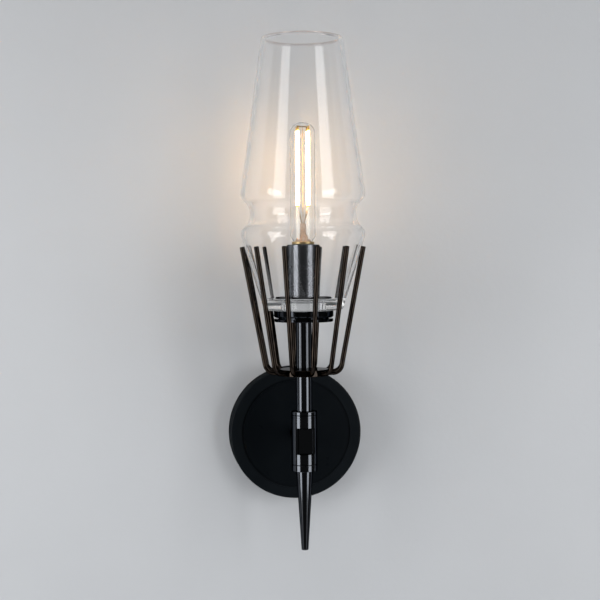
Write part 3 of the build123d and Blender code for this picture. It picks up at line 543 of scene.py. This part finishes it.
for part in frame["record"]["subparts"]:
    node = nodes[part["node"]]
    node.data.materials.clear()
    node.data.materials.append(materials[part["material_slot"]])
for name in ("seat_plate", "shade_seat"):
    nodes[name].data.materials[0] = seat_black
nodes["shade_ring"].data.materials[0] = ring_black
nodes["bulb_stem"].data.materials[0] = stem_glass

# Glass shade, with a lip that thickens the rim inward
foot_radius = GLASS_OUTSIDE[0][0]
lower_radius, lower_height = GLASS_OUTSIDE[1][:2]
upper_radius, upper_height = GLASS_OUTSIDE[-2][:2]
rim_radius, rim_height, rim_round = GLASS_OUTSIDE[-1]
floor_slope = (lower_radius - foot_radius) / lower_height
floor_radius = foot_radius + floor_slope * GLASS_FLOOR - GLASS_WALL
rim_slope = (upper_radius - rim_radius) / (rim_height - upper_height)
lip_radius = rim_radius - GLASS_WALL + rim_slope * GLASS_LIP_DROP
glass_inside = thinned(GLASS_OUTSIDE[1:-1], GLASS_WALL)
glass_corners = [
    (GLASS_HOLE, 0.0, GLASS_HOLE_ROUND),
    *GLASS_OUTSIDE,
    (rim_radius - GLASS_WALL - GLASS_LIP, rim_height, rim_round),
    (lip_radius, rim_height - GLASS_LIP_DROP, GLASS_LIP_ROUND),
    *glass_inside,
    (floor_radius, GLASS_FLOOR, GLASS_FLOOR_ROUND),
    (GLASS_HOLE, GLASS_FLOOR, GLASS_HOLE_ROUND),
]
lathe("shade_glass", rounded_loop(lifted(glass_corners, GLASS_BASE)), materials["shade_glass"], "shade",
      ["glass_shade"])

# Pale lining of the hole in the glass shade's floor, there as painted light that brightens the view through
# the floor
lining_low = GLASS_BASE + LINING_MARGIN
lining_high = GLASS_BASE + GLASS_FLOOR - LINING_MARGIN
lathe("hole_lining", hoop(LINING_RADII, lining_low, lining_high, LINING_ROUND), materials["gasket_rubber"],
      "shade")

# Lamp's envelope, closed at the top, and a brass collar round its neck
dome_radius, dome_height, dome_round = ENVELOPE_OUTSIDE[-1]
envelope_inside = thinned(ENVELOPE_OUTSIDE[:-1], ENVELOPE_WALL)
envelope_corners = [
    *ENVELOPE_OUTSIDE,
    (0, dome_height, 0),
    (0, dome_height - ENVELOPE_WALL, 0),
    (dome_radius - ENVELOPE_WALL, dome_height - ENVELOPE_WALL, dome_round - ENVELOPE_WALL),
    *envelope_inside,
]
lathe("envelope", rounded_loop(lifted(envelope_corners, ENVELOPE_BASE)), materials["lamp_glass"], "lamp",
      ["bulb_envelope"])
lathe("cap_collar", hoop(COLLAR_RADII, COLLAR_BASE, COLLAR_BASE + COLLAR_HEIGHT, COLLAR_ROUND),
      materials["lamp_cap"], "lamp")

# Filaments: a bright core in an amber sleeve, with a gold end at top and bottom, on a pale glass post that
# glows faintly as painted light
filament_places = []
for index in range(FILAMENT_COUNT):
    turn = FILAMENT_FIRST + 2 * math.pi * index / FILAMENT_COUNT
    filament_places.append((FILAMENT_RING * math.cos(turn), LAMP_Y + FILAMENT_RING * math.sin(turn)))
glow_low = FILAMENT_LOW + FILAMENT_LOWER_END
glow_high = FILAMENT_HIGH - FILAMENT_UPPER_END
core = pin(FILAMENT_CORE, glow_low + CORE_INSET, glow_high - CORE_INSET)
sleeve = pin(FILAMENT_RADIUS, glow_low, glow_high)
lower_end = pin(FILAMENT_END_RADIUS, FILAMENT_LOW, glow_low)
upper_end = pin(FILAMENT_END_RADIUS, glow_high, FILAMENT_HIGH)
post = pin(POST_RADIUS, ENVELOPE_BASE + POST_LIFT, FILAMENT_LOW)
for name, outline, material, slot, stands_for in (
    ("filament_cores", core, core_glow, "lamp_filament", ()),
    ("filament_sleeves", sleeve, materials["lamp_filament"], "lamp_filament", ["bulb_filaments"]),
    ("filament_lower_ends", lower_end, end_gold, "lamp_filament", ()),
    ("filament_upper_ends", upper_end, end_gold, "lamp_filament", ()),
    ("filament_posts", post, painted_post_glow, "lamp_glass", ()),
):
    lathe(name, outline, material, "lamp", stands_for, filament_places, THIN_TURN_STEPS)

# Stage: a pale wall with a hole behind the plate, and a pale floor, each shown from the room only
paint = stage_paint("wall_paint", WALL_GREY)
bm = bmesh.new()
hole = []
edge = []
for index in range(WALL_STEPS):
    turn = 2 * math.pi * index / WALL_STEPS
    way = Vector((math.cos(turn), 0, math.sin(turn)))
    hole.append(bm.verts.new(way * WALL_HOLE))
    edge.append(bm.verts.new(way * WALL_HALF / max(abs(way.x), abs(way.z))))
for index in range(WALL_STEPS):
    after = (index + 1) % WALL_STEPS
    bm.faces.new((hole[index], edge[index], edge[after], hole[after]))
new_object("wall", bm, paint)
bm = bmesh.new()
bm.faces.new([
    bm.verts.new((x, y, FLOOR_HEIGHT))
    for x, y in ((-FLOOR_HALF, -FLOOR_DEPTH), (FLOOR_HALF, -FLOOR_DEPTH), (FLOOR_HALF, 0), (-FLOOR_HALF, 0))
])
new_object("floor", bm, paint)

# World and softboxes
world = bpy.data.worlds.new("studio")
bpy.context.scene.world = world
world.use_nodes = True
sky = world.node_tree
coords = sky.nodes.new("ShaderNodeTexCoord")
split = sky.nodes.new("ShaderNodeSeparateXYZ")
sky.links.new(coords.outputs["Generated"], split.inputs["Vector"])
level = map_range(sky, split.outputs["Z"], DOME_START, DOME_FULL, WORLD_GREY, DOME_RADIANCE)
sky.links.new(level, sky.nodes["Background"].inputs["Strength"])
sky.nodes["Background"].inputs["Color"].default_value = (1, 1, 1, 1)
for azimuth, radiance in SIDE_LIGHTS:
    way = Vector((math.sin(azimuth), -math.cos(azimuth), 0))
    place = LIGHT_TARGET + way * SIDE_DISTANCE
    softbox("side_softbox", place, SIDE_SIZE, radiance)
    softbox("fill_softbox", place - Vector((0, 0, FILL_DROP)), FILL_SIZE, FILL_RADIANCE)
softbox("rear_softbox", REAR_PLACE, REAR_SIZE, REAR_RADIANCE)

# Camera
forward = Vector((math.sin(CAMERA_YAW), math.cos(CAMERA_YAW), 0)) * math.cos(CAMERA_PITCH)
forward += Vector((0, 0, math.sin(CAMERA_PITCH)))
right = Vector((math.cos(CAMERA_YAW), -math.sin(CAMERA_YAW), 0))
up = right.cross(forward)
right, up = (
    right * math.cos(CAMERA_ROLL) + up * math.sin(CAMERA_ROLL),
    up * math.cos(CAMERA_ROLL) - right * math.sin(CAMERA_ROLL),
)
camera_data = bpy.data.cameras.new("camera")
camera_data.sensor_width = SENSOR_MM
camera_data.lens = FOCAL_PIXELS / FRAME_PIXELS * SENSOR_MM
camera = bpy.data.objects.new("camera", camera_data)
turned = Matrix((right, up, -forward)).transposed().to_4x4()
camera.matrix_world = Matrix.Translation(CAMERA_PLACE) @ turned
bpy.context.collection.objects.link(camera)
bpy.context.scene.camera = camera
bpy.context.scene.view_settings.view_transform = "Standard"
